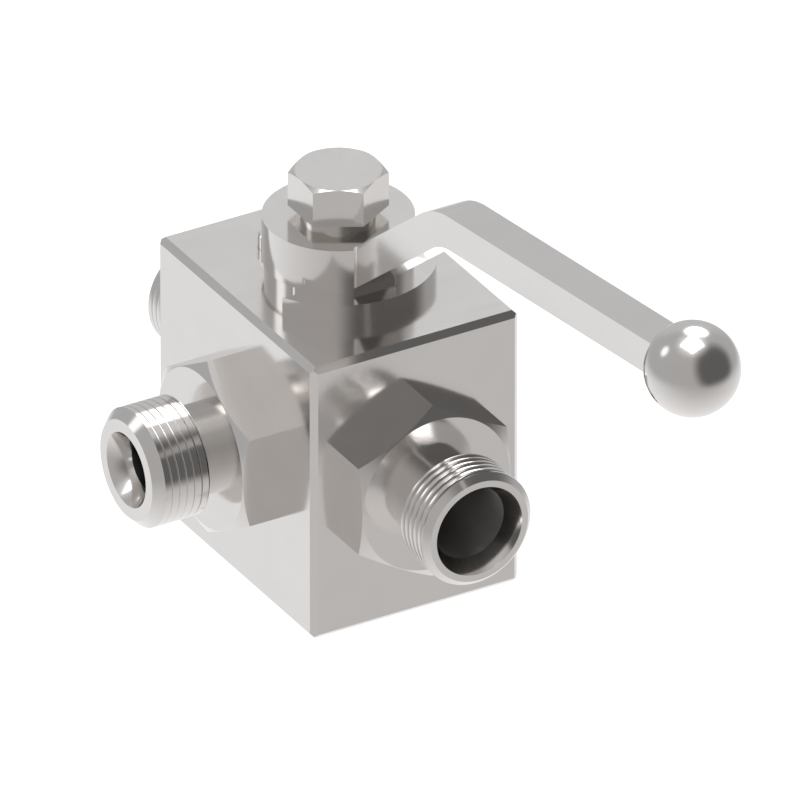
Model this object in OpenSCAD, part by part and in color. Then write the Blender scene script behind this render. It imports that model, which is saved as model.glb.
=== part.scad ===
// Three-way ball valve with a block body, two tube connectors on the through line,
// a smaller-bore connector on the left, and a bent lever with a ball knob.
// Origin: centre of the block's base face. +X to the closed side, -Y to the lever's rest
// direction and the front connector, +Z up along the stem. Millimetres.

/* [Block] */
// Width of the block, from the left port's face to the closed face
block_w = 42; // [40:0.5:46]
// Length of the block along the through line
block_l = 55; // [53:0.5:60]
// Height of the block
block_h = 55; // [54:0.5:60]
// Chamfer on every edge of the block
block_chamfer = 1.1; // [0.6:0.1:2]

/* [Ball and seats] */
// Diameter of the ball
ball_d = 24; // [23:0.25:24.5]
// Diameter of the L-shaped flow bore in the ball
flow_d = 12; // [10:0.5:12.5]
// Radial room between the ball and the chamber wall
chamber_gap = 0.6; // [0.4:0.1:0.8]
// Gap between the ball and each seat's hollow face
seat_gap = 0.3; // [0.25:0.05:0.4]
// Distance from the ball's centre to the near face of a seat
seat_near = 7.6; // [7.2:0.1:8]
// Width of the drive slot in the top of the ball
slot_w = 5; // [4:0.25:6]
// Depth of the drive slot below the top of the ball
slot_depth = 3.4; // [2.6:0.2:3.6]

/* [Connectors] */
// Width across the flats of each connector's hexagon
hex_af = 30; // [28:0.5:32]
// Length of each hexagon, from the block to its front face
hex_l = 7; // [6:0.25:8]
// Diameter of the turned circle on each hexagon's front face
hex_face_d = 29.8; // [28:0.1:30]
// Slope of the hexagon's corner chamfer
hex_slope = 30; // [20:1:35]
// Diameter of the neck between hexagon and thread
neck_d = 16.5; // [16:0.25:19.5]
// Major diameter of each connector's external thread
thread_d = 22; // [21:0.25:24]
// Distance from the block to the start of the left connector's thread
thread_from = 11.4; // [10:0.2:13]
// Distance from the block to the start of the front and rear connectors' thread
tube_thread_from = 13.5; // [12:0.25:14.5]
// Length of each connector outside the block
port_l = 22; // [20:0.5:25]
// Slope of the chamfer at the thread's outer end
end_slope = 45; // [35:1:55]
// Slope of the flank from the front and rear connectors' neck up to the thread
neck_slope = 45; // [40:1:60]
// Outer diameter of the end face on the front and rear connectors
tube_face_d = 19.7; // [19:0.1:20.5]
// Outer diameter of the end face on the left connector
cone_face_d = 18.5; // [17:0.1:19.5]

/* [Mouths and bores] */
// Diameter of the bore behind the cone in the front and rear connectors
tube_d = 14; // [13:0.25:15]
// Mouth diameter of the front and rear connectors' cone
tube_mouth_d = 17.25; // [16.5:0.05:17.5]
// Full angle of the cone in the front and rear mouths
tube_cone = 48; // [40:1:60]
// Depth of that bore from the end face
socket_depth = 20; // [18:0.5:24]
// Mouth diameter of the cone in the left connector
cone_mouth_d = 13.9; // [12:0.1:15]
// Full angle of the cone in the left mouth
cone_angle = 60; // [50:1:90]
// Diameter of the flow bore through the left connector
cone_bore_d = 9.5; // [8:0.25:11]

/* [Connector shanks] */
// Outer diameter of the front and rear shanks that screw into the block
shank_d = 27; // [27:0.25:29]
// Length of the screwed part of the front and rear shanks
shank_l = 10; // [8:0.5:10.5]
// Length of the plain nose that backs each seat
nose_l = 4; // [3:0.25:4.5]
// Outer diameter of the left shank
side_shank_d = 22; // [19:0.5:23]
// Length of the left shank
side_shank_l = 6; // [5:0.25:6.5]
// Cord diameter of the connector O-rings
port_seal_d = 1.6; // [1.2:0.1:1.8]

/* [Stem] */
// Diameter of the stem where it turns in the block
stem_d = 12; // [11.5:0.25:12.5]
// Radial running clearance of the stem in the block
stem_fit = 0.05; // [0.02:0.01:0.1]
// Diameter of the stem's inner collar
collar_d = 17; // [16:0.25:17.5]
// Height of the stem's inner collar
collar_h = 2.9; // [2:0.1:3.5]
// Thickness of the thrust washer above the collar
thrust_t = 0.9; // [0.6:0.1:1.2]
// Cord diameter of the stem O-rings, as squeezed in their grooves
stem_seal_d = 1.4; // [1.1:0.1:1.6]
// Height of the lower stem O-ring above the thrust washer
seal_low = 2.5; // [2:0.1:3]
// Spacing between the two stem O-rings
seal_pitch = 3.5; // [3:0.1:4]
// Width across the flats of the stem's square
square_af = 8.3; // [7.8:0.1:8.5]
// Height of the round part of the stem above the block
stem_step = 2; // [1.4:0.1:2.6]

/* [Lever hub] */
// Diameter of the lever's hub
hub_d = 27; // [26:0.25:28]
// Height of the hub's top face above the block
hub_top = 12.15; // [11:0.25:14]
// Diameter of the stop flange around the foot of the hub
flange_d = 35; // [34:0.25:36]
// Height of the stop flange's top face above the block
flange_top = 3.45; // [3:0.05:4]
// Clearance between the screw or square and what holds it
seat_fit = 0.05; // [0.03:0.01:0.1]

/* [Stop] */
// Diameter of the stop pin
pin_d = 4; // [3.5:0.25:4.25]
// Height of the stop pin above the block
pin_h = 2.9; // [2:0.1:3.1]
// Depth of the stop pin in the block
pin_depth = 6; // [4:0.5:7]
// Distance of the stop pin from the stem axis
pin_reach = 15.5; // [15.3:0.1:15.7]
// Direction of the stop pin, counter-clockwise from +X
pin_angle = 112; // [100:1:120]
// Chamfer on the stop pin's top edge
pin_chamfer = 0.4; // [0.2:0.1:0.6]
// Clearance between the stop pin and the slot in the lever's flange
stop_gap = 0.3; // [0.25:0.05:0.5]
// Travel of the lever between its two stops
travel = 90; // [80:1:90]

/* [Lever arm] */
// Width of the arm
arm_w = 7.7; // [7:0.1:9]
// Thickness of the arm
arm_t = 6.5; // [6:0.1:7.5]
// Fillet between the arm's sides and the hub
arm_fillet = 0.6; // [0.5:0.1:2]
// Distance from the stem axis to the flat on the hub under the arm
root_reach = 12.7; // [12.5:0.1:13.2]
// Slope of the arm's inner part
rise_angle = 38.4; // [36:0.2:40]
// Slope of the arm's outer part
reach_angle = 7.6; // [5:0.2:10]
// Inner radius of the bend between the two parts
bend_r = 13.5; // [10:0.5:18]
// Distance of the bend's corner from the stem axis
bend_reach = 41; // [39:0.5:44]
// Distance of the knob's centre from the stem axis
knob_reach = 122.6; // [110:1:135]

/* [Knob] */
// Diameter of the ball knob
knob_d = 17; // [16:0.5:20]
// Distance from the knob's centre to its flat face
knob_flat = 4.4; // [4:0.1:5]
// Diameter of the arm's round end inside the knob
spigot_d = 5; // [4:0.25:5.5]
// Length of the arm's round end
spigot_l = 7; // [5:0.5:8]

/* [Lever screw] */
// Width across the flats of the screw's head
head_af = 15.4; // [14.5:0.1:16]
// Height of the screw's head
head_h = 7.25; // [6:0.25:8]
// Slope of the chamfer on the head's corners
head_slope = 30; // [20:1:35]
// Diameter of the screw's shank
screw_d = 6; // [5:0.25:6]
// Length of the screw's shank
screw_l = 9.5; // [8:0.25:10]
// Diameter of the washer under the head
washer_d = 13.4; // [12.5:0.1:14.5]
// Thickness of the washer under the head
washer_t = 1.65; // [1.2:0.05:2]

/* [Hidden] */
$fn = 96;

// Overlap that keeps joined shapes in one solid, and cuts clean
eps = 0.01;
cut = 1;
// Clearance of a screwed shank in its threaded hole
screwed = 0.05;

port_z = block_h / 2;
ball_r = ball_d / 2;
flow_r = flow_d / 2;
chamber_r = ball_r + chamber_gap;
shank_r = shank_d / 2;
side_shank_r = side_shank_d / 2;
shank_end = block_l / 2 - shank_l;
nose_end = shank_end - nose_l;
side_end = block_w / 2 - side_shank_l;
port_seal_r = port_seal_d / 2;
// Distance of a connector O-ring's middle below the block's face
port_seal_in = port_seal_d;

// Seat ring, and the O-ring groove around its back edge
seat_r = chamber_r - chamber_gap / 2;
seat_seal_r = 0.8;
seat_groove_l = 1.7;
seat_groove_r = chamber_r - 2 * seat_seal_r - screwed;

// Stem heights, from the ball upwards
stem_r = stem_d / 2;
collar_r = collar_d / 2;
collar_gap = 0.3;
thrust_gap = 0.1;
collar_z = port_z + ball_r + chamber_gap;
thrust_z = collar_z + collar_h + thrust_gap;
shoulder_z = thrust_z + thrust_t;
stem_groove_r = stem_r + stem_fit - stem_seal_d - stem_fit;
stem_groove_l = stem_seal_d + 0.3;
step_z = block_h + stem_step;
hub_top_z = block_h + hub_top;
stem_top_z = hub_top_z - 0.3;
screw_hole_l = screw_l - washer_t + 0.4;
tang_w = slot_w - 0.2;
tang_z = port_z + ball_r - slot_depth + 0.3;

hub_r = hub_d / 2;
flange_r = flange_d / 2;
pin_r = pin_d / 2;
// Radius of the cutter that makes the stop slot
slot_r = pin_r + stop_gap;
slot_inner_r = pin_reach - slot_r - 0.1;

// The arm's centre line: slopes, bend corner and bend radius
bend_turn = rise_angle - reach_angle;
bend_mid_r = bend_r + arm_t / 2;
// Height above the block where the inner part's centre line meets the stem axis
arm_foot = -1.53;
bend_z = block_h + arm_foot + bend_reach * tan(rise_angle);
// Distance from the stem axis where the arm starts, inside the hub
arm_start = 10;
knob_r = knob_d / 2;
// Height of the tiny lip where each fillet meets the arm and the hub, and at the bend
fillet_lip = 0.03;
bend_lip = 0.01;
knob_z = bend_z + (knob_reach - bend_reach) * tan(reach_angle);

head_z = hub_top_z + washer_t;
hex_turn = 30;

// A rectangle about the origin with its four corners cut off
module chamfered_square(x, y, c) {
    polygon([
        [-x / 2 + c, -y / 2], [x / 2 - c, -y / 2], [x / 2, -y / 2 + c], [x / 2, y / 2 - c],
        [x / 2 - c, y / 2], [-x / 2 + c, y / 2], [-x / 2, y / 2 - c], [-x / 2, -y / 2 + c]
    ]);
}

// A box about the origin with a chamfer on all twelve edges
module chamfered_box(x, y, z, c) {
    intersection() {
        translate([0, 0, -z / 2])
            linear_extrude(z)
                chamfered_square(x, y, c);
        rotate([90, 0, 0])
            translate([0, 0, -y / 2])
                linear_extrude(y)
                    chamfered_square(x, z, c);
        rotate([90, 0, 90])
            translate([0, 0, -x / 2])
                linear_extrude(x)
                    chamfered_square(y, z, c);
    }
}

// Places its children, drawn outwards along +Z from a face of the block, at each port
module at_front() {
    translate([0, -block_l / 2, port_z])
        rotate([90, 0, 0])
            children();
}

module at_rear() {
    translate([0, block_l / 2, port_z])
        rotate([-90, 0, 0])
            children();
}

module at_left() {
    translate([-block_w / 2, 0, port_z])
        rotate([0, -90, 0])
            children();
}

// A ring of round cord lying in the XY plane
module o_ring(mid_r, cord_r) {
    rotate_extrude()
        translate([mid_r, 0])
            circle(cord_r);
}

// A hexagonal prism on the XY plane whose top corners are turned off at the given slope
module turned_hexagon(af, h, face_r, slope) {
    corner_r = af / 2 / cos(30);
    drop = (corner_r - face_r) * tan(slope);
    intersection() {
        cylinder(h = h, r = corner_r, $fn = 6);
        rotate_extrude()
            polygon([[0, 0], [corner_r + cut, 0], [corner_r + cut, h - drop - cut * tan(slope)],
                [face_r, h], [0, h]]);
    }
}

// The outside of a connector beyond its hexagon: neck, flank, thread and end chamfer
module connector_nose(end_r, from, flank_l) {
    thread_r = thread_d / 2;
    chamfer_l = (thread_r - end_r) / tan(end_slope);
    rotate_extrude()
        polygon([[0, hex_l - eps], [neck_d / 2, hex_l - eps], [neck_d / 2, from - flank_l],
            [thread_r, from], [thread_r, port_l - chamfer_l], [end_r, port_l], [0, port_l]]);
}

// A shank that screws into the block, with a seal groove under the hexagon
module shank(r, l) {
    groove_from = port_seal_in - port_seal_r - 0.1;
    groove_to = port_seal_in + port_seal_r + 0.1;
    rotate_extrude()
        polygon([[0, eps], [r - screwed, eps], [r - screwed, -groove_from],
            [r - port_seal_d, -groove_from], [r - port_seal_d, -groove_to],
            [r - screwed, -groove_to], [r - screwed, -l], [0, -l]]);
}

// Front or rear connector, drawn outwards from the block's face
module tube_adapter() {
    cone_l = (tube_mouth_d - tube_d) / 2 / tan(tube_cone / 2);
    flank_l = (thread_d - neck_d) / 2 / tan(neck_slope);
    tube_r = tube_d / 2;
    inner_z = -shank_l - nose_l;
    difference() {
        union() {
            rotate([0, 0, hex_turn])
                turned_hexagon(hex_af, hex_l, hex_face_d / 2, hex_slope);
            connector_nose(tube_face_d / 2, tube_thread_from, flank_l);
            shank(shank_r, shank_l);
            translate([0, 0, inner_z])
                cylinder(h = nose_l + eps, r = seat_r);
        }
        rotate_extrude()
            polygon([[0, inner_z - cut], [flow_r, inner_z - cut], [flow_r, port_l - socket_depth],
                [tube_r, port_l - socket_depth], [tube_r, port_l - cone_l],
                [tube_mouth_d / 2, port_l], [tube_mouth_d / 2, port_l + cut], [0, port_l + cut]]);
    }
}

// Left connector, drawn outwards from the block's face
module cone_adapter() {
    mouth_r = cone_mouth_d / 2;
    bore_r = cone_bore_d / 2;
    cone_l = (mouth_r - bore_r) / tan(cone_angle / 2);
    difference() {
        union() {
            turned_hexagon(hex_af, hex_l, hex_face_d / 2, hex_slope);
            connector_nose(cone_face_d / 2, thread_from, 0);
            shank(side_shank_r, side_shank_l);
        }
        rotate_extrude()
            polygon([[0, -side_shank_l - cut], [bore_r, -side_shank_l - cut],
                [bore_r, port_l - cone_l], [mouth_r, port_l], [mouth_r, port_l + cut],
                [0, port_l + cut]]);
    }
}

// O-ring of a connector, in its groove
module adapter_seal(r) {
    translate([0, 0, -port_seal_in])
        o_ring(r - port_seal_r, port_seal_r - eps);
}

// Seat ring, drawn from the ball's centre outwards along +Z
module seat() {
    difference() {
        rotate_extrude()
            polygon([[flow_r, seat_near], [seat_r, seat_near], [seat_r, nose_end - seat_groove_l],
                [seat_groove_r, nose_end - seat_groove_l], [seat_groove_r, nose_end],
                [flow_r, nose_end]]);
        sphere(ball_r + seat_gap);
    }
}

module seat_seal() {
    translate([0, 0, nose_end - seat_groove_l / 2])
        o_ring(seat_groove_r + seat_seal_r + eps, seat_seal_r);
}

module body() {
    color([0.74, 0.73, 0.71])
        difference() {
            translate([0, 0, block_h / 2])
                chamfered_box(block_w, block_l, block_h, block_chamfer);
            at_front()
                translate([0, 0, -block_l - cut])
                    cylinder(h = block_l + 2 * cut, r = chamber_r);
            at_front()
                translate([0, 0, -shank_l])
                    cylinder(h = shank_l + cut, r = shank_r);
            at_rear()
                translate([0, 0, -shank_l])
                    cylinder(h = shank_l + cut, r = shank_r);
            at_left()
                translate([0, 0, -side_shank_l])
                    cylinder(h = side_shank_l + cut, r = side_shank_r);
            at_left()
                translate([0, 0, -block_w / 2])
                    cylinder(h = block_w / 2, r = cone_bore_d / 2);
            translate([0, 0, port_z])
                cylinder(h = shoulder_z - port_z, r = collar_r + collar_gap);
            translate([0, 0, port_z])
                cylinder(h = block_h - port_z + cut, r = stem_r + stem_fit);
            rotate([0, 0, pin_angle])
                translate([pin_reach, 0, block_h - pin_depth])
                    cylinder(h = pin_depth + cut, r = pin_r + seat_fit);
        }
}

module adapter_front() {
    color([0.72, 0.71, 0.69])
        at_front()
            tube_adapter();
}

module adapter_rear() {
    color([0.72, 0.71, 0.69])
        at_rear()
            tube_adapter();
}

module adapter_left() {
    color([0.72, 0.71, 0.69])
        at_left()
            cone_adapter();
}

module adapter_seal_front() {
    color([0.06, 0.06, 0.06])
        at_front()
            adapter_seal(shank_r);
}

module adapter_seal_rear() {
    color([0.06, 0.06, 0.06])
        at_rear()
            adapter_seal(shank_r);
}

module adapter_seal_left() {
    color([0.06, 0.06, 0.06])
        at_left()
            adapter_seal(side_shank_r);
}

module seat_front() {
    color([0.92, 0.91, 0.87])
        translate([0, 0, port_z])
            rotate([90, 0, 0])
                seat();
}

module seat_rear() {
    color([0.92, 0.91, 0.87])
        translate([0, 0, port_z])
            rotate([-90, 0, 0])
                seat();
}

module seat_seal_front() {
    color([0.06, 0.06, 0.06])
        translate([0, 0, port_z])
            rotate([90, 0, 0])
                seat_seal();
}

module seat_seal_rear() {
    color([0.06, 0.06, 0.06])
        translate([0, 0, port_z])
            rotate([-90, 0, 0])
                seat_seal();
}

// The L-shaped bore joins the front and left ports at rest
module ball() {
    color([0.8, 0.8, 0.8])
        translate([0, 0, port_z])
            difference() {
                sphere(ball_r);
                sphere(flow_r);
                rotate([90, 0, 0])
                    cylinder(h = ball_r + cut, r = flow_r);
                rotate([0, -90, 0])
                    cylinder(h = ball_r + cut, r = flow_r);
                translate([-ball_r, -slot_w / 2, ball_r - slot_depth])
                    cube([ball_d, slot_w, slot_depth + cut]);
            }
}

module stem() {
    groove_half = stem_groove_l / 2;
    low_z = shoulder_z + seal_low;
    high_z = low_z + seal_pitch;
    color([0.7, 0.7, 0.69])
        difference() {
            union() {
                rotate_extrude()
                    polygon([[0, collar_z], [collar_r, collar_z], [collar_r, collar_z + collar_h],
                        [stem_r, collar_z + collar_h], [stem_r, low_z - groove_half],
                        [stem_groove_r, low_z - groove_half], [stem_groove_r, low_z + groove_half],
                        [stem_r, low_z + groove_half], [stem_r, high_z - groove_half],
                        [stem_groove_r, high_z - groove_half], [stem_groove_r, high_z + groove_half],
                        [stem_r, high_z + groove_half], [stem_r, step_z], [0, step_z]]);
                translate([-square_af / 2, -square_af / 2, step_z - eps])
                    cube([square_af, square_af, stem_top_z - step_z + eps]);
                intersection() {
                    translate([0, 0, tang_z])
                        cylinder(h = collar_z - tang_z + eps, r = stem_r);
                    translate([-stem_r, -tang_w / 2, tang_z])
                        cube([stem_d, tang_w, collar_z - tang_z + eps]);
                }
            }
            translate([0, 0, stem_top_z - screw_hole_l])
                cylinder(h = screw_hole_l + cut, r = screw_d / 2);
        }
}

module stem_washer() {
    color([0.9, 0.89, 0.86])
        translate([0, 0, thrust_z])
            difference() {
                cylinder(h = thrust_t, r = collar_r);
                translate([0, 0, -cut])
                    cylinder(h = thrust_t + 2 * cut, r = stem_r + stem_fit);
            }
}

module stem_seal(z) {
    color([0.06, 0.06, 0.06])
        translate([0, 0, z])
            o_ring(stem_r - stem_seal_d / 2, stem_seal_d / 2 - eps);
}

module stem_seal_lower() {
    stem_seal(shoulder_z + seal_low);
}

module stem_seal_upper() {
    stem_seal(shoulder_z + seal_low + seal_pitch);
}

module stop_pin() {
    color([0.78, 0.77, 0.75])
        rotate([0, 0, pin_angle])
            translate([pin_reach, 0, 0])
                rotate_extrude()
                    polygon([[0, block_h - pin_depth], [pin_r, block_h - pin_depth],
                        [pin_r, block_h + pin_h - pin_chamfer],
                        [pin_r - pin_chamfer, block_h + pin_h], [0, block_h + pin_h]]);
}

// Side view of the arm: two straight parts, the corner on top rounded and the one below filled
module arm_profile() {
    rise = [cos(rise_angle), sin(rise_angle)];
    reach = [cos(reach_angle), sin(reach_angle)];
    rise_up = [-rise[1], rise[0]];
    reach_up = [-reach[1], reach[0]];
    mean_up = [-sin((rise_angle + reach_angle) / 2), cos((rise_angle + reach_angle) / 2)];
    corner = [bend_reach, bend_z];
    start = corner - (bend_reach - arm_start) / rise[0] * rise;
    end = corner + ((knob_reach - bend_reach) / reach[0] - knob_flat) * reach;
    middle = corner - bend_mid_r / cos(bend_turn / 2) * mean_up;
    half = arm_t / 2;
    mitre = half / cos(bend_turn / 2);
    far = 2 * (bend_r + arm_t);
    difference() {
        polygon([start - half * rise_up, corner - mitre * mean_up, end - half * reach_up,
            end + half * reach_up, corner + mitre * mean_up, start + half * rise_up]);
        translate(middle)
            difference() {
                polygon([[0, 0], far * reach_up, far * mean_up, far * rise_up]);
                circle(bend_r + arm_t + bend_lip);
            }
    }
    translate(middle)
        difference() {
            polygon([[0, 0], bend_r * reach_up, bend_mid_r * mean_up, bend_r * rise_up]);
            circle(bend_r + bend_lip);
        }
}

// The arm up to the knob's flat, w wide
module arm_bar(w) {
    rotate([90, 0, -90])
        translate([0, 0, -w / 2])
            linear_extrude(w)
                arm_profile();
}

// The round end of the arm, inside the knob
module arm_spigot() {
    translate([0, -knob_reach, knob_z])
        rotate([90 - reach_angle, 0, 0])
            translate([0, 0, -knob_flat - cut])
                cylinder(h = spigot_l + cut, r = spigot_d / 2);
}

// The two fillets between the arm's sides and the hub, seen from above
module arm_fillets() {
    mid_x = arm_w / 2 + arm_fillet;
    mid_y = sqrt(pow(hub_r + arm_fillet, 2) - pow(mid_x, 2));
    touch = hub_r / (hub_r + arm_fillet);
    intersection() {
        arm_bar(arm_w + 4 * arm_fillet);
        for (side = [-1, 1])
            translate([0, 0, block_h + flange_top - eps])
                difference() {
                    linear_extrude(2 * hub_top)
                        polygon([[side * (arm_w / 2 - cut), -mid_y], [side * mid_x, -mid_y],
                            [side * mid_x * touch, -mid_y * touch],
                            [side * (mid_x * touch - cut), -(mid_y * touch - cut)],
                            [side * (arm_w / 2 - cut), -(mid_y * touch - cut)]]);
                    translate([side * mid_x, -mid_y, -cut])
                        cylinder(h = 2 * hub_top + 2 * cut, r = arm_fillet - fillet_lip);
                }
    }
}

// The hub, cut to a narrow flat where the arm's underside leaves it
module hub() {
    touch_x = (arm_w / 2 + arm_fillet) * hub_r / (hub_r + arm_fillet) - eps;
    difference() {
        translate([0, 0, block_h])
            cylinder(h = hub_top, r = hub_r);
        translate([-touch_x, -root_reach - hub_r, block_h + flange_top - eps])
            cube([2 * touch_x, hub_r, arm_t / 2]);
    }
}

// The slot that the stop pin runs in, from one stop to the other
module stop_slot() {
    slot_h = flange_top + 2 * eps;
    translate([0, 0, block_h - eps]) {
        for (a = [pin_angle, pin_angle + travel])
            rotate([0, 0, a])
                translate([pin_reach, 0, 0])
                    cylinder(h = slot_h, r = slot_r);
        difference() {
            linear_extrude(slot_h)
                polygon([[0, 0], 2 * flange_r * [cos(pin_angle), sin(pin_angle)],
                    2 * flange_r * [cos(pin_angle + travel / 2), sin(pin_angle + travel / 2)],
                    2 * flange_r * [cos(pin_angle + travel), sin(pin_angle + travel)]]);
            translate([0, 0, -cut])
                cylinder(h = slot_h + 2 * cut, r = slot_inner_r);
        }
    }
}

module lever() {
    square_hole = square_af + 2 * seat_fit;
    color([0.72, 0.71, 0.69])
        difference() {
            union() {
                hub();
                translate([0, 0, block_h])
                    cylinder(h = flange_top, r = flange_r);
                arm_bar(arm_w);
                arm_fillets();
                arm_spigot();
            }
            stop_slot();
            translate([0, 0, block_h - cut])
                cylinder(h = step_z - block_h + cut, r = stem_r + seat_fit);
            translate([-square_hole / 2, -square_hole / 2, step_z - cut])
                cube([square_hole, square_hole, hub_top_z - step_z + 2 * cut]);
        }
}

module knob() {
    color([0.74, 0.73, 0.71])
        translate([0, -knob_reach, knob_z])
            rotate([90 - reach_angle, 0, 0])
                difference() {
                    sphere(knob_r);
                    translate([-knob_d, -knob_d, -knob_d - knob_flat])
                        cube([2 * knob_d, 2 * knob_d, knob_d]);
                    translate([0, 0, -knob_flat - cut])
                        cylinder(h = spigot_l + cut + 2 * seat_fit, r = spigot_d / 2 + seat_fit);
                }
}

module screw_washer() {
    color([0.66, 0.65, 0.63])
        translate([0, 0, hub_top_z])
            difference() {
                cylinder(h = washer_t, r = washer_d / 2);
                translate([0, 0, -cut])
                    cylinder(h = washer_t + 2 * cut, r = screw_d / 2 + 2 * seat_fit);
            }
}

module head_screw() {
    color([0.72, 0.71, 0.69])
        translate([0, 0, head_z]) {
            rotate([0, 0, hex_turn])
                turned_hexagon(head_af, head_h, head_af / 2, head_slope);
            translate([0, 0, -screw_l])
                cylinder(h = screw_l + eps, r = screw_d / 2 - seat_fit);
        }
}

body();
adapter_front();
adapter_rear();
adapter_left();
adapter_seal_front();
adapter_seal_rear();
adapter_seal_left();
seat_front();
seat_rear();
seat_seal_front();
seat_seal_rear();
ball();
stem();
stem_washer();
stem_seal_lower();
stem_seal_upper();
stop_pin();
lever();
knob();
screw_washer();
head_screw();
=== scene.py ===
"""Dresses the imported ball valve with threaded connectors, steels, rubber and plastic."""
import math
from collections import namedtuple

import bmesh
import bpy
from mathutils import Matrix, Vector


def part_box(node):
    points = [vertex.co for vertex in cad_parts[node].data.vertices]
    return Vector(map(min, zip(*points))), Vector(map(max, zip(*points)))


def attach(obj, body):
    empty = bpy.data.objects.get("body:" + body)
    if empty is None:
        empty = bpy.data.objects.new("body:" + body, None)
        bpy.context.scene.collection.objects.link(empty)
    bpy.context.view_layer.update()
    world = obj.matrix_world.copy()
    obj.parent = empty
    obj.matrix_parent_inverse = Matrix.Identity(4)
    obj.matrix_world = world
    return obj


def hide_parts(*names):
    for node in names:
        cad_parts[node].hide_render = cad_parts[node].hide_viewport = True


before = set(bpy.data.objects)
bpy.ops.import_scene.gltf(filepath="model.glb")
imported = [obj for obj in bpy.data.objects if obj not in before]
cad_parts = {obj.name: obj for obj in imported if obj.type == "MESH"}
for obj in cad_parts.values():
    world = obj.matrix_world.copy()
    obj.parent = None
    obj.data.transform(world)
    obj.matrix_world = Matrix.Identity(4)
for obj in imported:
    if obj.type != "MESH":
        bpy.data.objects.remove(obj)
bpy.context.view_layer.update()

bl_info = {
    "name": "Three-way ball valve",
    "version": (1, 0, 0),
    "blender": (4, 5, 0),
    "location": "View3D > Sidebar > Valve",
    "description": "Threads, finishes and studio for a three-way ball valve",
    "category": "Object",
}

BLOCK_LOW, BLOCK_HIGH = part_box("body")
PORT_HEIGHT = (BLOCK_LOW.z + BLOCK_HIGH.z) / 2
FULL_TURN = 2 * math.pi


# Settings

def length(name, default, description):
    return bpy.props.FloatProperty(
        name=name, default=default, description=description,
        min=0.0, precision=5, unit="LENGTH", subtype="DISTANCE")


def angle(name, degrees, description):
    return bpy.props.FloatProperty(
        name=name, default=math.radians(degrees), description=description,
        unit="ROTATION", subtype="ANGLE")


def colour(name, default, description):
    return bpy.props.FloatVectorProperty(
        name=name, default=default, description=description,
        size=3, min=0.0, max=1.0, subtype="COLOR")


def share(name, default, description):
    return bpy.props.FloatProperty(
        name=name, default=default, description=description,
        min=0.0, max=1.0, subtype="FACTOR")


class VALVE_PG_connector(bpy.types.PropertyGroup):
    """Sizes of the three connectors"""

    hexagon_af: length("Hexagon", 0.030, "Width across the flats of the hexagon")
    hexagon_length: length("Hexagon length", 0.007, "From the block to the front face")
    face_diameter: length("Turned face", 0.0298, "Circle where the corner chamfer starts")
    corner_slope: angle("Corner slope", 30, "Slope of the chamfer on the corners")
    neck_diameter: length("Neck", 0.0165, "Diameter between hexagon and thread")
    thread_diameter: length("Thread", 0.022, "Major diameter of the thread")
    thread_start: length("Thread start", 0.0114, "From the block to the left thread")
    tube_thread_start: length(
        "Tube thread start", 0.0135, "From the block to the front and rear thread")
    tube_flank: length(
        "Tube flank", 0.00275, "Length of the slope from the front and rear neck to the thread")
    thread_pitch: length("Pitch", 0.0015, "Advance of the thread in one turn")
    groove_depth: length("Groove depth", 0.00017, "Depth of the thread's groove")
    groove_share: share("Groove width", 0.2, "Width of the left groove as a share of the pitch")
    tube_groove_share: share(
        "Tube groove width", 0.3, "Width of the front and rear groove as a share of the pitch")
    runout_depth: length("Run-out depth", 0.0005, "Depth of the groove at the left thread's start")
    runout_turns: bpy.props.FloatProperty(
        name="Run-out", default=2.3, min=0.0,
        description="Turns over which the left thread runs out")
    seal_from: length("Seal groove start", 0.0007, "From the block's face inwards")
    seal_to: length("Seal groove end", 0.0025, "From the block's face inwards")
    tube_cone: angle("Tube cone", 48, "Full angle of the front and rear mouths")
    cone_angle: angle("Left cone", 60, "Full angle of the left mouth")
    reach: length("Length", 0.022, "From the block to the end face")
    end_slope: angle("End slope", 45, "Slope of the chamfer at the thread's end")


class VALVE_PG_knob(bpy.types.PropertyGroup):
    """Sizes of the ball knob"""

    flat: length("Flat", 0.0044, "From the knob's centre to its flat face")
    slope: angle("Slope", 7.6, "Slope of the arm that carries the knob")
    hole_diameter: length("Hole", 0.0051, "Diameter of the hole for the arm's end")
    hole_depth: length("Hole depth", 0.0071, "Depth of the hole, from the flat face")


class VALVE_PG_finish(bpy.types.PropertyGroup):
    """Colours and gloss of the finishes"""

    plating: colour("Plating", (0.80, 0.777, 0.756), "Colour of the plated steel")
    plating_gloss: share("Plating roughness", 0.13, "Roughness of the plated faces")
    machined: colour("Machined", (0.78, 0.77, 0.755), "Colour of the bare turned steel")
    machined_gloss: share("Machined roughness", 0.2, "Roughness of the turned faces")
    # Painted shade: the front and rear bores are steel, darkened to about half the machined tone
    # to stand in for the shade inside them.
    bore: colour("Turned bore", (0.38, 0.37, 0.355), "Colour of the front and rear bores")
    bore_gloss: share("Turned bore roughness", 0.5, "Roughness of the front and rear bores")
    # Painted shade: the left bore is steel, but its colour is set near black to stand in for the
    # shade deep inside it.
    left_bore_shade: colour("Drilled bore", (0.05, 0.05, 0.05), "Colour of the left bore")
    drilled_gloss: share("Drilled bore roughness", 0.3, "Roughness of the left bore")
    polished: colour("Polished", (0.80, 0.777, 0.756), "Colour of the polished steel")
    polished_gloss: share("Polished roughness", 0.16, "Roughness of the polished steel")
    rubber: colour("Rubber", (0.018, 0.018, 0.019), "Colour of the O-rings")
    plastic: colour("Seat plastic", (0.80, 0.79, 0.75), "Colour of the seats and washer")


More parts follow.
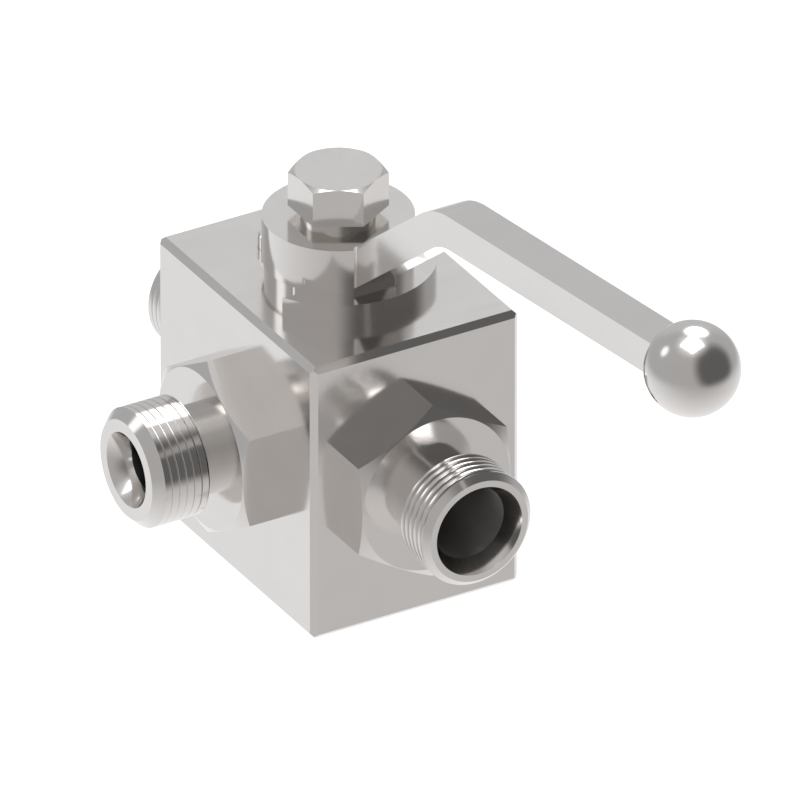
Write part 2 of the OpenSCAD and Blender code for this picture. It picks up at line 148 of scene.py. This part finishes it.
class VALVE_PG_stage(bpy.types.PropertyGroup):
    """Camera, floor and light"""

    azimuth: angle("Azimuth", -30, "Camera's direction round the valve")
    elevation: angle("Elevation", 30, "Camera's height above the horizon")
    lens: bpy.props.FloatProperty(
        name="Lens", default=1700.0, min=50.0, unit="CAMERA",
        description="Focal length, long enough to look parallel")
    field: length("Field", 0.14085, "Width of the view at the valve")
    aim_right: length("Aim right", 0.01083, "Middle of the view, right of the block's middle")
    aim_up: length("Aim up", 0.00155, "Middle of the view, above the block's middle")
    floor_size: length("Floor", 6.0, "Side of the square floor")
    brightness: bpy.props.FloatProperty(
        name="Brightness", default=1.0, min=0.0, description="Strength of the studio light")


# Mesh making

def finish_mesh(name, bm, sharp=30):
    """Turns a bmesh into a linked object with crisp edges above the sharp angle."""
    bmesh.ops.remove_doubles(bm, verts=bm.verts, dist=1e-7)
    bmesh.ops.recalc_face_normals(bm, faces=bm.faces)
    mesh = bpy.data.meshes.new(name)
    bm.to_mesh(mesh)
    bm.free()
    mesh.polygons.foreach_set("use_smooth", [True] * len(mesh.polygons))
    mesh.set_sharp_from_angle(angle=math.radians(sharp))
    obj = bpy.data.objects.new(name, mesh)
    bpy.context.scene.collection.objects.link(obj)
    return obj


def loft(rings, turned, bore=(), closed=True):
    """Joins rings of (reach, radius) points, and the last to the first when closed.

    Each ring's last point lies a full turn after its first, on that ring or on the next turn of
    the thread. Faces that start at a ring in the bore get the second material slot."""
    bm = bmesh.new()
    count = len(rings[0]) - 1
    rows = []
    for ring in rings:
        row = []
        for step, (reach, radius) in enumerate(ring):
            around = FULL_TURN * (step % count) / count
            row.append(bm.verts.new(turned @ Vector(
                (radius * math.cos(around), radius * math.sin(around), reach))))
        rows.append(row)
    for index, (low, high) in enumerate(zip(rows, rows[1:] + rows[:closed])):
        for step in range(count):
            face = bm.faces.new((low[step], low[step + 1], high[step + 1], high[step]))
            face.material_index = int(index in bore)
    return bm


def port_matrix(origin, outward):
    """Right-handed frame whose Z runs outwards from the block's face and whose Y is up."""
    up = Vector((0, 0, 1))
    side = up.cross(outward)
    axes = (side, up, outward)
    turn = Matrix([[axis[i] for axis in axes] for i in range(3)]).to_4x4()
    return Matrix.Translation(origin) @ turn


def hexagon_radius(af, around):
    """Distance from the axis to the hexagon's outline, with a corner straight up."""
    sixth = FULL_TURN / 6
    return af / 2 / math.cos(around - sixth * round(around / sixth))


# Where the thread starts, the length of the slope before it, its run-out in turns, its groove's
# width as a share of the pitch, and the diameter of the end face
Thread = namedtuple("Thread", "start flank runout groove end_diameter")


def thread_rings(size, thread, end, angles):
    """Rings that follow the helix from the end down to the start, with a round-bottomed groove.

    The groove is deeper over the first turns when there is a run-out."""
    half_steps = 4
    start, pitch = thread.start, size.thread_pitch

    def point(reach, around):
        reach = min(max(reach, start), end)
        turn = (reach - start) / pitch - around / FULL_TURN
        across = min(abs(turn - round(turn)) * 2 / thread.groove, 1)
        deeper = min(max(thread.runout - (reach - start) / pitch, 0), 1)
        depth = size.groove_depth + deeper * (size.runout_depth - size.groove_depth)
        return reach, size.thread_diameter / 2 - depth * (0.5 + 0.5 * math.cos(math.pi * across))

    rings = []
    for turn in range(math.ceil((end - start) / pitch), -2, -1):
        for place in range(half_steps, -half_steps - 1, -1):
            low = start + pitch * (turn + place * thread.groove / (2 * half_steps))
            rings.append([point(low + pitch * around / FULL_TURN, around) for around in angles])
    return rings


def connector_rings(size, thread, under, inside):
    """Rings of a connector: end face, thread, neck and hexagon, then under and inside it."""
    count = 240
    angles = [FULL_TURN * step / count for step in range(count + 1)]

    def plain(reach, radius):
        return [(reach, radius)] * (count + 1)

    thread_radius, end_radius = size.thread_diameter / 2, thread.end_diameter / 2
    chamfer = (thread_radius - end_radius) / math.tan(size.end_slope)
    thread_end = size.reach - chamfer
    rings = [plain(size.reach, end_radius), plain(thread_end, thread_radius)]
    rings += thread_rings(size, thread, thread_end, angles)
    rings += [plain(thread.start, thread_radius),
              plain(thread.start - thread.flank, size.neck_diameter / 2),
              plain(size.hexagon_length, size.neck_diameter / 2),
              plain(size.hexagon_length, size.face_diameter / 2)]
    outline = [hexagon_radius(size.hexagon_af, around) for around in angles]
    drop = math.tan(size.corner_slope)
    rings.append([(size.hexagon_length - (radius - size.face_diameter / 2) * drop, radius)
                  for radius in outline])
    rings.append([(0, radius) for radius in outline])
    rings += [plain(reach, radius) for reach, radius in under + inside]
    return rings, range(len(rings) - len(inside), len(rings) - 2)


# Materials

# How much a finish's roughness varies in its lay lines, and how the lines are stretched
POLISHED_LAY, PLATED_LAY, TURNED_LAY = 0.01, 0.02, 0.04
LINES_ALONG_X = (0.05, 1, 1)
LINES_ALONG_Y = (1, 0.05, 1)
LINES_AROUND_Z = (0.1, 0.1, 1)
EVEN_LINES = (1, 1, 1)


def node(tree, kind, inputs=(), **settings):
    """Adds a shader node, sets its properties, then its inputs by name or number."""
    made = tree.nodes.new(kind)
    for key, value in settings.items():
        setattr(made, key, value)
    for key, value in inputs:
        if isinstance(value, bpy.types.NodeSocket):
            tree.links.new(value, made.inputs[key])
        else:
            made.inputs[key].default_value = value
    return made


def new_material(name):
    made = bpy.data.materials.new(name)
    made.use_nodes = True
    made.node_tree.nodes.clear()
    return made, made.node_tree


def remap(tree, value, low, high):
    """Spreads a 0 to 1 value between low and high."""
    return node(tree, "ShaderNodeMapRange", [
        ("Value", value), ("To Min", low), ("To Max", high)]).outputs[0]


def noise(tree, place, scale, detail, **inputs):
    """Noise with its features per metre and its levels of detail; returns the 0 to 1 value."""
    return node(tree, "ShaderNodeTexNoise", [
        ("Vector", place), ("Scale", scale), ("Detail", detail), *inputs.items()]).outputs[0]


def two_tone(tree, value, tone, darker, low=0.0, high=1.0):
    """Colour that goes from a darker share of the tone, at the low value, to the tone."""
    paint = node(tree, "ShaderNodeValToRGB", [("Fac", value)])
    first, last = paint.color_ramp.elements
    first.position, last.position = low, high
    first.color = (*[channel * darker for channel in tone], 1)
    last.color = (*tone, 1)
    return paint.outputs[0]


def steel(name, tone, roughness, lay, lay_scale=EVEN_LINES):
    """Smooth steel: faint mottling in the colour, lay lines of the tool and a fine grain."""
    made, tree = new_material(name)
    place = node(tree, "ShaderNodeTexCoord").outputs["Object"]
    mottle = noise(tree, place, 140.0, 3.0)
    stretched = node(tree, "ShaderNodeMapping", [("Vector", place), ("Scale", lay_scale)])
    lines = noise(tree, stretched.outputs[0], 900.0, 2.0, Roughness=0.6)
    grain = noise(tree, place, 9000.0, 1.0)
    paint = two_tone(tree, mottle, tone, darker=0.975, low=0.3, high=0.7)
    spread = remap(tree, lines, roughness - lay, roughness + lay)
    bump = node(tree, "ShaderNodeBump", [
        ("Strength", 0.04), ("Distance", 0.00002), ("Height", grain)])
    shader = node(tree, "ShaderNodeBsdfPrincipled", [
        ("Base Color", paint), ("Metallic", 1.0), ("Roughness", spread),
        ("Normal", bump.outputs[0])])
    node(tree, "ShaderNodeOutputMaterial", [("Surface", shader.outputs[0])])
    return made


def turned_steel(name, tone, roughness, axis):
    """Bored steel with the fine rings of the tool, which spread its shine along the axis."""
    made, tree = new_material(name)
    place = node(tree, "ShaderNodeTexCoord").outputs["Object"]
    uneven, quarter_turn = 0.03, 0.25
    mottle = noise(tree, place, 500.0, 3.0)
    paint = two_tone(tree, mottle, tone, darker=0.85)
    spread = remap(tree, mottle, roughness - uneven, roughness + uneven)
    around = node(tree, "ShaderNodeTangent", direction_type="RADIAL", axis=axis)
    shader = node(tree, "ShaderNodeBsdfPrincipled", [
        ("Base Color", paint), ("Metallic", 1.0), ("Roughness", spread),
        ("Anisotropic", 1.0), ("Anisotropic Rotation", quarter_turn),
        ("Tangent", around.outputs[0])])
    node(tree, "ShaderNodeOutputMaterial", [("Surface", shader.outputs[0])])
    return made


def soft_solid(name, tone, roughness, gloss):
    """Rubber or plastic: uneven tone and a fine matt grain."""
    made, tree = new_material(name)
    place = node(tree, "ShaderNodeTexCoord").outputs["Object"]
    uneven = 0.1
    grain = noise(tree, place, 3000.0, 4.0)
    paint = two_tone(tree, noise(tree, place, 300.0, 2.0), tone, darker=0.85)
    bump = node(tree, "ShaderNodeBump", [
        ("Strength", 0.15), ("Distance", 0.00003), ("Height", grain)])
    shader = node(tree, "ShaderNodeBsdfPrincipled", [
        ("Base Color", paint), ("Roughness", remap(tree, grain, roughness, roughness + uneven)),
        ("Normal", bump.outputs[0]), ("Specular IOR Level", gloss)])
    node(tree, "ShaderNodeOutputMaterial", [("Surface", shader.outputs[0])])
    return made


def dress(names, material):
    """Gives CAD nodes a material in their own slots."""
    for name in names:
        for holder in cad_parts[name].material_slots:
            holder.material = material


# Operators

class VALVE_OT_connectors(bpy.types.Operator):
    """Makes the three threaded connectors"""

    bl_idname = "valve.connectors"
    bl_label = "Make connectors"

    def execute(self, context):
        size = context.scene.valve_connector
        finish = context.scene.valve_finish
        plated = steel("connector_steel", finish.plating, finish.plating_gloss, PLATED_LAY)
        tube = self.tube_rings(size)
        cone = self.cone_rings(size)
        middle = Vector((0, 0, PORT_HEIGHT))
        # The front and rear bores' dark tone is painted shade. The tool's rings, through the
        # anisotropic roughness, only spread the shine along the axis.
        turned_bore = turned_steel("bore_steel_painted_shade", finish.bore, finish.bore_gloss, "Y")
        # The left bore's near-black colour is painted shade inside the bore, not the colour of
        # drilled steel.
        left_bore_shaded = steel("left_bore_painted_shade", finish.left_bore_shade, finish.drilled_gloss, TURNED_LAY)
        ports = (
            ("front", tube, middle + Vector((0, BLOCK_LOW.y, 0)), (0, -1, 0), turned_bore),
            ("rear", tube, middle + Vector((0, BLOCK_HIGH.y, 0)), (0, 1, 0), turned_bore),
            ("left", cone, middle + Vector((BLOCK_LOW.x, 0, 0)), (-1, 0, 0), left_bore_shaded),
        )
        for side, (rings, inner), origin, outward, bore in ports:
            turned = port_matrix(origin, Vector(outward))
            piece = finish_mesh(f"{side}_connector", loft(rings, turned, inner))
            piece.data.materials.append(plated)
            piece.data.materials.append(bore)
            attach(piece, "housing")
            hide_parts(f"adapter_{side}")
        return {"FINISHED"}

    def shank_rings(self, size, radius, groove_radius, depth):
        """The part in the block, with the groove for its O-ring."""
        first, last = -size.seal_from, -size.seal_to
        return [(0, radius), (first, radius), (first, groove_radius), (last, groove_radius),
                (last, radius), (-depth, radius)]

    def tube_rings(self, size):
        """Front and rear connector, with the spigot that holds the seat, in radii and depths."""
        shank, groove, spigot = 0.01345, 0.0119, 0.0123
        shank_depth, spigot_depth, socket_depth = 0.010, 0.014, 0.020
        bore, socket, mouth = 0.006, 0.007, 0.008625
        socket_floor = size.reach - socket_depth
        cone_depth = (mouth - socket) / math.tan(size.tube_cone / 2)
        thread = Thread(start=size.tube_thread_start, flank=size.tube_flank, runout=0,
                        groove=size.tube_groove_share, end_diameter=0.0197)
        under = self.shank_rings(size, shank, groove, shank_depth)
        under += [(-shank_depth, spigot), (-spigot_depth, spigot)]
        inside = [(-spigot_depth, bore), (socket_floor, bore), (socket_floor, socket),
                  (size.reach - cone_depth, socket), (size.reach, mouth)]
        return connector_rings(size, thread, under, inside)

    def cone_rings(self, size):
        """Left connector, in radii and depths."""
        shank, groove, bore, mouth = 0.01095, 0.0094, 0.00475, 0.00695
        shank_depth = 0.006
        cone_depth = (mouth - bore) / math.tan(size.cone_angle / 2)
        thread = Thread(start=size.thread_start, flank=0, runout=size.runout_turns,
                        groove=size.groove_share, end_diameter=0.0185)
        under = self.shank_rings(size, shank, groove, shank_depth)
        inside = [(-shank_depth, bore), (size.reach - cone_depth, bore), (size.reach, mouth)]
        return connector_rings(size, thread, under, inside)


class VALVE_OT_block(bpy.types.Operator):
    """Finishes the block, the lever and its screw as plated steel"""

    bl_idname = "valve.block"
    bl_label = "Finish block and lever"

    def execute(self, context):
        finish = context.scene.valve_finish
        dress(["body"], steel(
            "block_steel", finish.plating, finish.plating_gloss, PLATED_LAY, LINES_ALONG_X))
        dress(["lever"], steel(
            "lever_steel", finish.plating, finish.plating_gloss, PLATED_LAY, LINES_ALONG_Y))
        dress(["head_screw", "screw_washer", "stop_pin"], steel(
            "screw_steel", finish.plating, finish.plating_gloss, PLATED_LAY))
        return {"FINISHED"}


class VALVE_OT_knob(bpy.types.Operator):
    """Makes the polished ball knob"""

    bl_idname = "valve.knob"
    bl_label = "Make knob"

    def execute(self, context):
        size = context.scene.valve_knob
        finish = context.scene.valve_finish
        low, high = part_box("knob")
        radius = (high.x - low.x) / 2
        middle = Vector(((low.x + high.x) / 2, low.y + radius, (low.z + high.z) / 2))
        count, steps = 96, 48
        edge = math.acos(-size.flat / radius)
        outline = [(radius * math.cos(edge * step / steps), radius * math.sin(edge * step / steps))
                   for step in range(steps + 1)]
        hole, hole_floor = size.hole_diameter / 2, size.hole_depth - size.flat
        outline += [(-size.flat, hole), (hole_floor, hole), (hole_floor, 0.0)]
        turned = Matrix.Translation(middle) @ Matrix.Rotation(math.pi / 2 - size.slope, 4, "X")
        rings = [[point] * (count + 1) for point in outline]
        piece = finish_mesh("ball_knob", loft(rings, turned, closed=False))
        piece.data.materials.append(steel(
            "knob_steel", finish.polished, finish.polished_gloss, POLISHED_LAY))
        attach(piece, "handle")
        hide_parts("knob")
        return {"FINISHED"}


class VALVE_OT_inside(bpy.types.Operator):
    """Finishes the ball, the stem, the seats and the seals"""

    bl_idname = "valve.inside"
    bl_label = "Finish inner parts"

    def execute(self, context):
        finish = context.scene.valve_finish
        dress(["ball"], steel(
            "ball_steel", finish.polished, finish.polished_gloss, POLISHED_LAY))
        dress(["stem"], steel(
            "stem_steel", finish.machined, finish.machined_gloss, TURNED_LAY, LINES_AROUND_Z))
        dress(["seat_front", "seat_rear", "stem_washer"], soft_solid(
            "seat_plastic", finish.plastic, roughness=0.4, gloss=0.5))
        seals = [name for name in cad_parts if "_seal" in name]
        dress(seals, soft_solid("seal_rubber", finish.rubber, roughness=0.45, gloss=0.4))
        return {"FINISHED"}


# The studio light, by the direction of the ray: heights are sines, angles in degrees
HORIZON, BELOW_HORIZON = -0.12, -0.5
# Height where the floor's light starts to change, height where it ends, light at both
FLOOR_LIGHT = (-0.4, -1.0, 0.74, 0.86)
FLOOR_SLOPE = (0.05, 0.22, 0)
WALL_LIGHT = 0.47
# Azimuth, elevation, half diagonal as a tangent and strength
ZENITH_LIGHT = (30, 89.9, 0.48, 2.1)
# Azimuth, elevation, inner angle, outer angle and strength
WALL_SHADE = (150, 18, 33, 61, 0.73)
ROUND_LIGHTS = (
    (0, 90, 15, 40, 0.25),
    (40, 50, 13, 21, 2.1),
    (28, 20, 10, 40, 0.12),
    (-49, 31, 5, 12, 0.9),
)
# The light's colour, and how it changes for each unit towards the rear
TINT = (1.0, 0.995, 1.0)
TINT_TO_REAR = (0.0, 0.014, 0.028)


class VALVE_OT_stage(bpy.types.Operator):
    """Sets the camera, the pale floor and the studio light"""

    bl_idname = "valve.stage"
    bl_label = "Set the stage"

    def execute(self, context):
        stage = context.scene.valve_stage
        self.camera(context, stage)
        self.floor(stage)
        self.light(context, stage)
        context.scene.view_settings.view_transform = "Standard"
        return {"FINISHED"}

    def camera(self, context, stage):
        flat = math.cos(stage.elevation)
        back = Vector((math.sin(stage.azimuth) * flat, -math.cos(stage.azimuth) * flat,
                       math.sin(stage.elevation)))
        data = bpy.data.cameras.new("view")
        data.lens = stage.lens
        data.sensor_width = 36.0
        away = stage.field * data.lens / data.sensor_width
        data.clip_start, data.clip_end = away / 20, away * 4
        camera = bpy.data.objects.new("view", data)
        context.scene.collection.objects.link(camera)
        turn = (-back).to_track_quat("-Z", "Y")
        right, up = turn @ Vector((1, 0, 0)), turn @ Vector((0, 1, 0))
        middle = (BLOCK_LOW + BLOCK_HIGH) / 2
        camera.rotation_mode = "QUATERNION"
        camera.rotation_quaternion = turn
        camera.location = middle + right * stage.aim_right + up * stage.aim_up + back * away
        context.scene.camera = camera

    def floor(self, stage):
        gap, white, glow_strength = 0.0002, (1, 1, 1, 1), 0.92
        bm = bmesh.new()
        bmesh.ops.create_grid(bm, x_segments=1, y_segments=1, size=stage.floor_size / 2)
        bmesh.ops.translate(bm, verts=bm.verts, vec=(0, 0, BLOCK_LOW.z - gap))
        floor = finish_mesh("floor", bm)
        made, tree = new_material("floor_white")
        paint = node(tree, "ShaderNodeBsdfDiffuse", [("Color", (0.3, 0.3, 0.3, 1))])
        glow = node(tree, "ShaderNodeEmission", [
            ("Color", white), ("Strength", glow_strength)])
        both = node(tree, "ShaderNodeAddShader", [(0, paint.outputs[0]), (1, glow.outputs[0])])
        node(tree, "ShaderNodeOutputMaterial", [("Surface", both.outputs[0])])
        floor.data.materials.append(made)
        floor.visible_glossy = False

    def light(self, context, stage):
        world = bpy.data.worlds.new("studio")
        context.scene.world = world
        world.use_nodes = True
        tree = world.node_tree
        tree.nodes.clear()
        ray = node(tree, "ShaderNodeTexCoord").outputs["Generated"]

        def direction(azimuth, elevation):
            """Unit vector; azimuth from +Y towards +X."""
            a, e = math.radians(azimuth), math.radians(elevation)
            return Vector((math.sin(a) * math.cos(e), math.cos(a) * math.cos(e), math.sin(e)))

        def maths(kind, first, second):
            made = node(tree, "ShaderNodeMath", [(0, first), (1, second)], operation=kind)
            return made.outputs[0]

        def along(axis):
            """Length of the ray's direction along an axis."""
            return node(tree, "ShaderNodeVectorMath", [
                (0, ray), (1, axis)], operation="DOT_PRODUCT").outputs["Value"]

        def ramp(value, start, stop, low, high):
            return node(tree, "ShaderNodeMapRange", [
                ("Value", value), ("From Min", start), ("From Max", stop),
                ("To Min", low), ("To Max", high)], interpolation_type="SMOOTHSTEP").outputs[0]

        def patch(azimuth, elevation, inner, outer, strength):
            """A soft round light or shade: full within the inner angle, none beyond the outer."""
            near = along(direction(azimuth, elevation))
            none, full = math.cos(math.radians(outer)), math.cos(math.radians(inner))
            return ramp(near, none, full, 0.0, strength)

        def diamond(azimuth, elevation, half, strength):
            """A soft square light standing on its corner; its half diagonal as a tangent."""
            outside, inside = 1.08, 0.88
            toward = direction(azimuth, elevation)
            side = Vector((0, 0, 1)).cross(toward).normalized()
            near = maths("MAXIMUM", along(toward), 0.05)
            across = maths("ABSOLUTE", maths("DIVIDE", along(side), near), 0.0)
            upward = maths("ABSOLUTE", maths("DIVIDE", along(toward.cross(side)), near), 0.0)
            reach = maths("ADD", maths("DIVIDE", across, half), maths("DIVIDE", upward, half))
            front = ramp(along(toward), 0.0, 0.3, 0.0, 1.0)
            return maths("MULTIPLY", front, ramp(reach, outside, inside, 0.0, strength))

        height = along((0, 0, 1))
        below = ramp(height, HORIZON, BELOW_HORIZON, 0.0, 1.0)
        floor = maths("ADD", ramp(height, *FLOOR_LIGHT), along(FLOOR_SLOPE))
        walls = maths("MULTIPLY", WALL_LIGHT, maths("SUBTRACT", 1.0, patch(*WALL_SHADE)))
        total = maths("ADD", maths("MULTIPLY", walls, maths("SUBTRACT", 1.0, below)),
                      maths("MULTIPLY", floor, below))
        total = maths("ADD", total, diamond(*ZENITH_LIGHT))
        for round_light in ROUND_LIGHTS:
            total = maths("ADD", total, patch(*round_light))
        cooler = node(tree, "ShaderNodeVectorMath", [
            (0, TINT_TO_REAR), ("Scale", along((0, 1, 0)))], operation="SCALE")
        tint = node(tree, "ShaderNodeVectorMath", [
            (0, cooler.outputs[0]), (1, TINT)], operation="ADD")
        colour_of_ray = node(tree, "ShaderNodeVectorMath", [
            (0, tint.outputs[0]), ("Scale", total)], operation="SCALE")
        lit = node(tree, "ShaderNodeBackground", [
            ("Color", colour_of_ray.outputs[0]), ("Strength", stage.brightness)])
        seen = node(tree, "ShaderNodeBackground", [("Color", (1, 1, 1, 1)), ("Strength", 1.0)])
        path = node(tree, "ShaderNodeLightPath")
        pick = node(tree, "ShaderNodeMixShader", [
            (0, path.outputs["Is Camera Ray"]), (1, lit.outputs[0]), (2, seen.outputs[0])])
        node(tree, "ShaderNodeOutputWorld", [("Surface", pick.outputs[0])])


class VALVE_PT_panel(bpy.types.Panel):
    """Lists the steps in the 3D view's sidebar"""

    bl_label = "Ball valve"
    bl_idname = "VALVE_PT_panel"
    bl_space_type = "VIEW_3D"
    bl_region_type = "UI"
    bl_category = "Valve"

    def draw(self, context):
        for step in STEPS:
            self.layout.operator(step.bl_idname)
        for group in GROUPS:
            box = self.layout.box()
            settings = getattr(context.scene, group)
            for name in settings.__annotations__:
                box.prop(settings, name)


GROUPS = {
    "valve_connector": VALVE_PG_connector,
    "valve_knob": VALVE_PG_knob,
    "valve_finish": VALVE_PG_finish,
    "valve_stage": VALVE_PG_stage,
}
STEPS = (VALVE_OT_stage, VALVE_OT_connectors, VALVE_OT_block, VALVE_OT_knob, VALVE_OT_inside)


def register():
    for name, group in GROUPS.items():
        bpy.utils.register_class(group)
        setattr(bpy.types.Scene, name, bpy.props.PointerProperty(type=group))
    for made in (*STEPS, VALVE_PT_panel):
        bpy.utils.register_class(made)


def unregister():
    for made in (VALVE_PT_panel, *reversed(STEPS)):
        bpy.utils.unregister_class(made)
    for name, group in GROUPS.items():
        delattr(bpy.types.Scene, name)
        bpy.utils.unregister_class(group)


def main():
    register()
    for step in STEPS:
        space, name = step.bl_idname.split(".")
        getattr(getattr(bpy.ops, space), name)()


if __name__ == "__main__":
    main()
